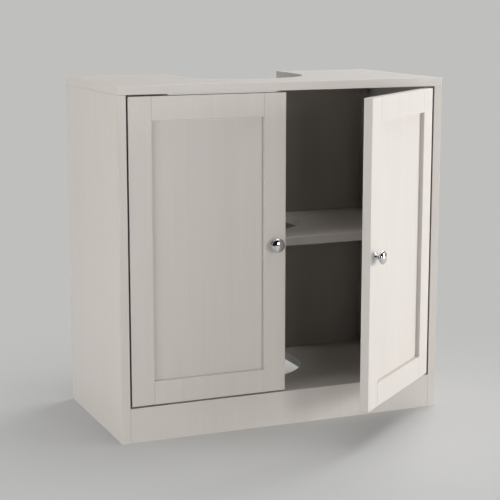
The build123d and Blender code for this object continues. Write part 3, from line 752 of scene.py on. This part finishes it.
# %% Knobs
def seat_on(mesh, place, facing):
    """Moves a mesh made along Z, so that it stands at a place and points along a direction."""
    turn = Vector((0, 0, 1)).rotation_difference(Vector(facing)).to_matrix().to_4x4()
    mesh.transform(Matrix.Translation(Vector(place)) @ turn)


def new_piece(name, mesh, material, body):
    piece = bpy.data.objects.new(name, mesh)
    mesh.materials.clear()
    mesh.materials.append(material)
    scene.collection.objects.link(piece)
    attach(piece, body)
    return piece


for side in ("left", "right"):
    name = side + "_door_knob"
    foot, height, radius, _ = measure_turned(separate_solids(name)[0], door_front(side))
    mesh = turned_mesh(name + "_turned", knob_profile(), KNOB_STEPS)
    seat_on(mesh, foot, door_front(side))
    knob = new_piece(name + "_turned", mesh, chrome, side + "_door")
    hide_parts(name)
    print(name, "height and radius in mm:", round(height * MILLIMETRES, 1),
          round(radius * MILLIMETRES, 1))

# %% [markdown]
# ## Setting fasteners
#
# The hinges are held by cross-head screws, and so are the knobs. They repeat, so one screw of
# each size is made and Geometry Nodes set it on points that carry the direction each screw
# faces. A loop of copies would do for so few, but the tree is needed again for the rivets. A
# seeded random turn about its axis leaves no two crosses at the same angle, as a fitter would.
# The tree ends with real geometry, because instances would be lost when the model is passed on.


# %% Fastener tree
def scatter_tree():
    """A modifier tree that sets a fastener on every point, turned to face along it."""
    tree = bpy.data.node_groups.new("set_fasteners", "GeometryNodeTree")
    face = tree.interface
    face.new_socket("Geometry", in_out="INPUT", socket_type="NodeSocketGeometry")
    face.new_socket("Fastener", in_out="INPUT", socket_type="NodeSocketObject")
    face.new_socket("Finish", in_out="INPUT", socket_type="NodeSocketMaterial")
    face.new_socket("Seed", in_out="INPUT", socket_type="NodeSocketInt")
    face.new_socket("Geometry", in_out="OUTPUT", socket_type="NodeSocketGeometry")

    def add(kind, inputs, **settings):
        made = tree.nodes.new(kind)
        for name, value in settings.items():
            setattr(made, name, value)
        for name, value in inputs.items():
            if hasattr(value, "is_output"):
                tree.links.new(value, made.inputs[name])
            else:
                made.inputs[name].default_value = value
        return made

    given = add("NodeGroupInput", {})
    facing = add("GeometryNodeInputNamedAttribute", {"Name": "facing"}, data_type="FLOAT_VECTOR")
    aligned = add("FunctionNodeAlignRotationToVector", {"Vector": facing.outputs["Attribute"]},
                  axis="Z")
    chance = add("FunctionNodeRandomValue", {"Max": 2 * pi, "Seed": given.outputs["Seed"]},
                 data_type="FLOAT")
    spin = add("FunctionNodeAxisAngleToRotation",
               {"Axis": (0, 0, 1), "Angle": chance.outputs["Value"]})
    both = add("FunctionNodeRotateRotation",
               {"Rotation": aligned.outputs["Rotation"], "Rotate By": spin.outputs["Rotation"]},
               rotation_space="LOCAL")
    thing = add("GeometryNodeObjectInfo", {"Object": given.outputs["Fastener"]})
    placed = add("GeometryNodeInstanceOnPoints",
                 {"Points": given.outputs["Geometry"], "Instance": thing.outputs["Geometry"],
                  "Rotation": both.outputs["Rotation"]})
    real = add("GeometryNodeRealizeInstances", {"Geometry": placed.outputs["Instances"]})
    finished = add("GeometryNodeSetMaterial",
                   {"Geometry": real.outputs["Geometry"], "Material": given.outputs["Finish"]})
    add("NodeGroupOutput", {"Geometry": finished.outputs["Geometry"]})
    return tree


fastener_tree = scatter_tree()
print("nodes in the fastener tree:", len(fastener_tree.nodes))

# %% [markdown]
# The tree needs something to work on: a mesh of bare points, each with its direction as an
# attribute. What comes out is copied into a plain mesh, and the points are thrown away.


# %% Setting fasteners
def hidden_object(name, mesh):
    """An object that is used to make a piece and then removed."""
    thing = bpy.data.objects.new(name, mesh)
    scene.collection.objects.link(thing)
    return thing


def set_fasteners(name, places, facing, fastener, finish, body, seed=0):
    """One piece that holds a fastener at each place."""
    points = bpy.data.meshes.new(name)
    points.from_pydata([tuple(place) for place in places], [], [])
    directions = points.attributes.new("facing", "FLOAT_VECTOR", "POINT")
    for item, direction in zip(directions.data, facing):
        item.vector = direction
    carrier = hidden_object(name + "_points", points)
    modifier = carrier.modifiers.new("fasteners", "NODES")
    modifier.node_group = fastener_tree
    values = {"Fastener": fastener, "Finish": finish, "Seed": seed}
    for item in fastener_tree.interface.items_tree:
        if item.in_out == "INPUT" and item.name in values:
            modifier[item.identifier] = values[item.name]
    evaluated = carrier.evaluated_get(bpy.context.evaluated_depsgraph_get())
    mesh = bpy.data.meshes.new_from_object(evaluated)
    bpy.data.objects.remove(carrier)
    return new_piece(name, mesh, finish, body)


# %% [markdown]
# ## One screw
#
# One screw is a turned shape with a cross cut into its head. The cross could be a dark line in
# the finish. The cut is a real one, made with a boolean, because a close view looks into it.

# %% Screw
SCREW_HEAD_HEIGHT = 0.0022
SCREW_STEPS = 32
SCREW_DOME_STEPS = 8
TIP_RADIUS = 0.8          # of the shank's radius
TIP_LENGTH = 0.4          # of the shank's radius
HEAD_SIDE = 1 / 3         # of the head's height, upright under the dome
DOME_SIDE = 0.97          # of the head's radius, where the dome's curve is pulled at its edge
DOME_CROWN = 0.75         # and at its middle
CROSS_REACH = 0.62        # of the head's radius
CROSS_WIDTH = 0.0007      # half the width of each slot
CROSS_DEPTH = 0.0013


def box_mesh(name, low, high):
    shape = bmesh.new()
    bmesh.ops.create_cube(shape, size=1.0)
    size = [b - a for a, b in zip(low, high)]
    middle = [(a + b) / 2 for a, b in zip(low, high)]
    bmesh.ops.scale(shape, vec=size, verts=shape.verts)
    bmesh.ops.translate(shape, vec=middle, verts=shape.verts)
    mesh = bpy.data.meshes.new(name)
    shape.to_mesh(mesh)
    shape.free()
    return mesh


def screw_profile(length, head, shank):
    """From the tip, at height 0, to a domed head."""
    neck = length - SCREW_HEAD_HEIGHT
    side = SCREW_HEAD_HEIGHT * HEAD_SIDE
    rim = (head, neck + side)
    points = [(0.0, 0.0), (shank * TIP_RADIUS, 0.0), (shank, shank * TIP_LENGTH), (shank, neck),
              (head, neck), rim]
    return points + curve(rim, (head * DOME_SIDE, length - side * HEAD_SIDE),
                          (head * DOME_CROWN, length), (0.0, length), SCREW_DOME_STEPS)


def make_screw(length, head, shank):
    profile = screw_profile(length, head, shank)
    screw = hidden_object("screw", turned_mesh("screw", profile, SCREW_STEPS))
    reach = head * CROSS_REACH
    cutters = []
    for low, high in (((-reach, -CROSS_WIDTH), (reach, CROSS_WIDTH)),
                      ((-CROSS_WIDTH, -reach), (CROSS_WIDTH, reach))):
        mesh = box_mesh("cross", (*low, length - CROSS_DEPTH), (*high, length + CROSS_DEPTH))
        cutters.append(hidden_object("cross", mesh))
        cut = screw.modifiers.new("cross", "BOOLEAN")
        cut.object = cutters[-1]
        cut.solver = "EXACT"
    evaluated = screw.evaluated_get(bpy.context.evaluated_depsgraph_get())
    mesh = bpy.data.meshes.new_from_object(evaluated)
    for thing in (screw, *cutters):
        bpy.data.objects.remove(thing)
    return mesh


# %% [markdown]
# ## Screws
#
# The hinges' plates and cups and the knobs have screws of several sizes. Each size is measured
# on the model's plain screws rather than written down, so each new screw is as long and as
# thick as the one it replaces. Those in the side panels face the middle of the cabinet, and
# those in the doors face away from the door's front.

# %% Screws
SIZE_DIGITS = 5           # screws are one size if they agree to a hundredth of a millimetre
SIDE_SCREW_SEED = 11
DOOR_SCREW_SEEDS = {"left": 21, "right": 31}


def renew_screws(name, body, facing_of, seed):
    """Replaces a node's plain screws, in as many sizes as it holds."""
    by_size = {}
    for vertices in separate_solids(name):
        facing = facing_of(vertices)
        foot, *measures = measure_turned(vertices, facing)
        size = tuple(round(float(value), SIZE_DIGITS) for value in measures)
        by_size.setdefault(size, []).append((foot, facing))
    for number, (size, placed) in enumerate(sorted(by_size.items())):
        screw = hidden_object("screw_size", make_screw(*size))
        places, directions = zip(*placed)
        piece = set_fasteners(f"{name}_cross_head_{number + 1}", places, directions, screw,
                              nickel, body, seed + number)
        bpy.data.objects.remove(screw)
        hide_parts(name)
        print(name, "size", number + 1, "in mm:",
              [round(value * MILLIMETRES, 1) for value in size], len(placed))


def inward(vertices):
    """A screw in a side panel faces the middle of the cabinet."""
    return (-1.0, 0.0, 0.0) if vertices[:, 0].mean() > 0 else (1.0, 0.0, 0.0)


renew_screws("hinge_side_screws", "carcass", inward, SIDE_SCREW_SEED)
for side, seed in DOOR_SCREW_SEEDS.items():
    behind = tuple(-value for value in door_front(side))
    for name in (f"{side}_hinge_cup_screws", f"{side}_door_knob_screw"):
        renew_screws(name, side + "_door", lambda vertices: behind, seed)

# %% [markdown]
# ## Rivet heads
#
# The pins of a pressed hinge arm are riveted over at both ends, which leaves a low dome on each
# cheek. These repeat as the screws do, so the same tree sets them on the ends of the pins.

# %% Rivets
RIVET_RADIUS = 0.0021
RIVET_HEIGHT = 0.0006
RIVET_STEPS = 24
RIVET_DOME_STEPS = 6
RIVET_SIDE = 0.3          # of the height, where the dome starts
RIVET_SHOULDER = 0.8      # of the height, where its curve is pulled at its edge
RIVET_CROWN = 0.6         # of the radius, where it is pulled at its middle


def rivet_profile():
    """From the middle of the underside to the top of the dome."""
    rim = (RIVET_RADIUS, RIVET_HEIGHT * RIVET_SIDE)
    dome = curve(rim, (RIVET_RADIUS, RIVET_HEIGHT * RIVET_SHOULDER),
                 (RIVET_RADIUS * RIVET_CROWN, RIVET_HEIGHT), (0.0, RIVET_HEIGHT), RIVET_DOME_STEPS)
    return [(0.0, 0.0), (RIVET_RADIUS, 0.0), rim] + dome


rivet = hidden_object("rivet", turned_mesh("rivet", rivet_profile(), RIVET_STEPS))
rivet_places = []
rivet_facing = []
for vertices in separate_solids("hinge_arm_pins"):
    for facing in ((0.0, 0.0, -1.0), (0.0, 0.0, 1.0)):
        foot, length, _, _ = measure_turned(vertices, facing)
        rivet_places.append(foot + np.array(facing) * length)
        rivet_facing.append(facing)
rivets = set_fasteners("hinge_arm_rivets", rivet_places, rivet_facing, rivet, nickel, "carcass")
bpy.data.objects.remove(rivet)
print("rivet heads:", len(rivet_places))
